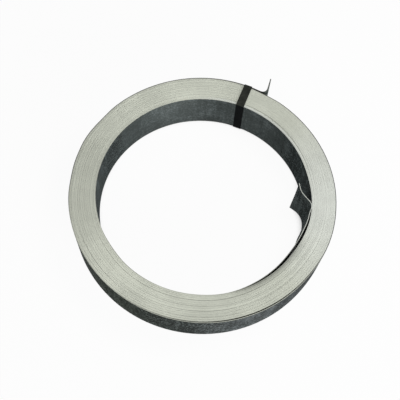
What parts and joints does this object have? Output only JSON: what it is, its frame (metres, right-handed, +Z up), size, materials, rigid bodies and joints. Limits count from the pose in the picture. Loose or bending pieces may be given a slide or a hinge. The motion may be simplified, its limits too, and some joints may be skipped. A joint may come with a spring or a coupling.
{
  "type": "steel strip coil",
  "caption": "Coil of narrow galvanised steel strip lying on its end, with a sprung inner end, a bent outer lip and a plastic strap that holds its turns together.",
  "frame": {"origin": "on the axis of the coil, at the floor it lies on", "axes": "+Z up the axis of the coil; +X towards the loose inner end of the strip; the strap and the outer end lie towards +Y"},
  "size_m": [0.2352, 0.238, 0.0415],
  "materials": {
    "galvanised_steel": "hot-dip galvanised, dull spangle on the faces, bright on the slit edges",
    "black_plastic": "extruded polypropylene strap, faintly embossed"
  },
  "bodies": {
    "root": {"strip_coil": "galvanised_steel", "strap": "black_plastic"}
  },
  "joints": []
}
